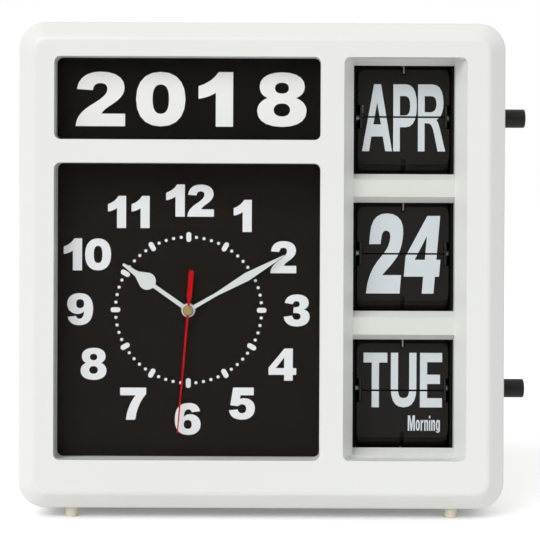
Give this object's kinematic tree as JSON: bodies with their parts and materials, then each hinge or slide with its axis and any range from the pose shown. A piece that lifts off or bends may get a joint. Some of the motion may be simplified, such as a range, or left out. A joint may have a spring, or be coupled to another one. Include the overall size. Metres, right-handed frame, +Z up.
{
  "type": "flip wall clock",
  "caption": "Square wall and table clock with an analogue dial, a year card and flip-leaf reels for month, date and weekday.",
  "frame": {"origin": "middle of the footprint, at the level that the feet stand on", "axes": "+X to the right as seen from the front, towards the knobs; +Y to the back, the face looks along -Y; +Z up"},
  "size_m": [0.3368, 0.088, 0.3265],
  "materials": {
    "case_plastic": "satin moulded warm white",
    "cover_plastic": "fine textured warm white",
    "foot_plastic": "cream",
    "steel": "zinc plated",
    "lens": "clear, glossy",
    "black_card": "matt black print",
    "black_plastic": "moulded black",
    "brass": "turned",
    "white_hand": "white enamel",
    "red_hand": "red enamel",
    "leaf": "black printed sheet",
    "knob_plastic": "black",
    "acetal": "natural acetal",
    "cell_wrap": "plain wrap"
  },
  "bodies": {
    "case": {"front_case": "case_plastic", "rear_cover": "cover_plastic", "rear_cover_screws": "steel", "feet": "foot_plastic", "hanger_plate": "steel", "front_lens": "lens", "inner_frame": "case_plastic", "frame_screws": "steel", "year_card": "black_card", "dial_plate": "black_card", "movement_case": "black_plastic", "movement_bushing": "brass", "chassis_left_plate": "black_plastic", "chassis_right_plate": "black_plastic", "chassis_bridges": "black_plastic", "chassis_tie_rods": "steel", "chassis_screws": "steel", "catch_fingers": "steel", "calendar_motor": "acetal", "battery_box": "black_plastic", "battery_contacts": "steel", "battery": "cell_wrap"},
    "second_hand": {"second_arbor": "steel", "second_hand": "red_hand", "second_hand_cap": "brass"},
    "minute_hand": {"minute_arbor": "brass", "minute_hand": "white_hand"},
    "hour_hand": {"hour_pipe": "brass", "hour_hand": "white_hand"},
    "time_set_knob": {"time_set_knob": "black_plastic"},
    "month_reel": {"month_axle": "steel", "month_reel": "black_plastic", "month_leaves": "leaf", "month_knob": "knob_plastic", "month_ratchet": "acetal"},
    "date_reel": {"date_axle": "steel", "date_reel": "black_plastic", "date_leaves": "leaf", "date_ratchet": "acetal", "date_cam": "acetal"},
    "weekday_reel": {"weekday_axle": "steel", "weekday_reel": "black_plastic", "weekday_leaves": "leaf", "weekday_knob": "knob_plastic", "weekday_gear": "acetal", "weekday_cam": "acetal"},
    "motor_pinion": {"motor_pinion": "brass"},
    "date_carry_lever": {"date_carry_lever": "acetal"},
    "month_carry_lever": {"month_carry_lever": "acetal"},
    "battery_door": {"battery_door": "cover_plastic"},
    "month_top_leaf": {"month_top_leaf": "leaf"},
    "month_next_leaf": {"month_next_leaf": "leaf"},
    "month_bottom_leaf": {"month_bottom_leaf": "leaf"},
    "date_top_leaf": {"date_top_leaf": "leaf"},
    "date_next_leaf": {"date_next_leaf": "leaf"},
    "date_bottom_leaf": {"date_bottom_leaf": "leaf"},
    "weekday_top_leaf": {"weekday_top_leaf": "leaf"},
    "weekday_next_leaf": {"weekday_next_leaf": "leaf"},
    "weekday_bottom_leaf": {"weekday_bottom_leaf": "leaf"}
  },
  "joints": [
    {"name": "second_hand_turn", "type": "hinge", "parent": "case", "child": "second_hand", "pos_m": [-0.05695, -0.044, 0.1367], "axis": [0, 1, 0], "continuous": true},
    {"name": "minute_hand_turn", "type": "hinge", "parent": "case", "child": "minute_hand", "pos_m": [-0.05695, -0.044, 0.1367], "axis": [0, 1, 0], "continuous": true},
    {"name": "hour_hand_turn", "type": "hinge", "parent": "case", "child": "hour_hand", "pos_m": [-0.05695, -0.044, 0.1367], "axis": [0, 1, 0], "continuous": true},
    {"name": "time_set_knob_turn", "type": "hinge", "parent": "case", "child": "time_set_knob", "pos_m": [-0.05695, -0.044, 0.1227], "axis": [0, 1, 0], "continuous": true},
    {"name": "month_reel_turn", "type": "hinge", "parent": "case", "child": "month_reel", "pos_m": [0.08535, -0.0029, 0.2654], "axis": [1, 0, 0], "range_deg": [0, 15]},
    {"name": "month_top_leaf_turn", "type": "hinge", "parent": "month_reel", "child": "month_top_leaf", "pos_m": [0.08535, -0.01857, 0.26746], "axis": [1, 0, 0], "range_deg": [0, 165]},
    {"name": "month_next_leaf_turn", "type": "hinge", "parent": "month_reel", "child": "month_next_leaf", "pos_m": [0.08535, -0.0175, 0.27145], "axis": [1, 0, 0], "range_deg": [-5.93, 0]},
    {"name": "month_bottom_leaf_turn", "type": "hinge", "parent": "month_reel", "child": "month_bottom_leaf", "pos_m": [0.08535, -0.01857, 0.26334], "axis": [1, 0, 0], "range_deg": [-8.42, 0]},
    {"name": "date_reel_turn", "type": "hinge", "parent": "case", "child": "date_reel", "pos_m": [0.08535, -0.0029, 0.1743], "axis": [1, 0, 0], "range_deg": [0, 11.61]},
    {"name": "date_top_leaf_turn", "type": "hinge", "parent": "date_reel", "child": "date_top_leaf", "pos_m": [0.08535, -0.01862, 0.1759], "axis": [1, 0, 0], "range_deg": [0, 168.39]},
    {"name": "date_next_leaf_turn", "type": "hinge", "parent": "date_reel", "child": "date_next_leaf", "pos_m": [0.08535, -0.01798, 0.17903], "axis": [1, 0, 0], "range_deg": [-4.87, 0]},
    {"name": "date_bottom_leaf_turn", "type": "hinge", "parent": "date_reel", "child": "date_bottom_leaf", "pos_m": [0.08535, -0.01862, 0.1727], "axis": [1, 0, 0], "range_deg": [-6.36, 0]},
    {"name": "weekday_reel_turn", "type": "hinge", "parent": "case", "child": "weekday_reel", "pos_m": [0.08535, -0.0029, 0.0832], "axis": [1, 0, 0], "range_deg": [0, 12.86]},
    {"name": "weekday_top_leaf_turn", "type": "hinge", "parent": "weekday_reel", "child": "weekday_top_leaf", "pos_m": [0.08535, -0.0186, 0.08497], "axis": [1, 0, 0], "range_deg": [0, 167.14]},
    {"name": "weekday_next_leaf_turn", "type": "hinge", "parent": "weekday_reel", "child": "weekday_next_leaf", "pos_m": [0.08535, -0.01781, 0.08842], "axis": [1, 0, 0], "range_deg": [-5.27, 0]},
    {"name": "weekday_bottom_leaf_turn", "type": "hinge", "parent": "weekday_reel", "child": "weekday_bottom_leaf", "pos_m": [0.08535, -0.0186, 0.08143], "axis": [1, 0, 0], "range_deg": [-7.11, 0]},
    {"name": "motor_pinion_turn", "type": "hinge", "parent": "case", "child": "motor_pinion", "pos_m": [0.08535, 0.0195, 0.0832], "axis": [1, 0, 0], "range_deg": [-38.6, 0]},
    {"name": "date_carry_lever_turn", "type": "hinge", "parent": "case", "child": "date_carry_lever", "pos_m": [0.08535, -0.0029, 0.12875], "axis": [1, 0, 0], "range_deg": [0, 3]},
    {"name": "month_carry_lever_turn", "type": "hinge", "parent": "case", "child": "month_carry_lever", "pos_m": [0.08535, -0.0029, 0.21985], "axis": [1, 0, 0], "range_deg": [0, 3]},
    {"name": "battery_door_slide", "type": "slide", "parent": "case", "child": "battery_door", "axis": [-1, 0, 0], "range_m": [0, 0.04]}
  ],
  "couplings": [
    {"joint": "hour_hand_turn", "follows": "minute_hand_turn", "ratio": 0.083333},
    {"joint": "time_set_knob_turn", "follows": "minute_hand_turn", "ratio": -0.33333},
    {"joint": "month_top_leaf_turn", "follows": "month_reel_turn", "ratio": 11},
    {"joint": "month_next_leaf_turn", "follows": "month_reel_turn", "ratio": -0.39524},
    {"joint": "month_bottom_leaf_turn", "follows": "month_reel_turn", "ratio": -0.56128},
    {"joint": "date_top_leaf_turn", "follows": "date_reel_turn", "ratio": 14.5},
    {"joint": "date_next_leaf_turn", "follows": "date_reel_turn", "ratio": -0.41896},
    {"joint": "date_bottom_leaf_turn", "follows": "date_reel_turn", "ratio": -0.54771},
    {"joint": "weekday_top_leaf_turn", "follows": "weekday_reel_turn", "ratio": 13},
    {"joint": "weekday_next_leaf_turn", "follows": "weekday_reel_turn", "ratio": -0.41025},
    {"joint": "weekday_bottom_leaf_turn", "follows": "weekday_reel_turn", "ratio": -0.55271},
    {"joint": "motor_pinion_turn", "follows": "weekday_reel_turn", "ratio": -3},
    {"joint": "date_carry_lever_turn", "follows": "date_reel_turn", "ratio": 0.17106},
    {"joint": "month_carry_lever_turn", "follows": "month_reel_turn", "ratio": 0.17106}
  ]
}
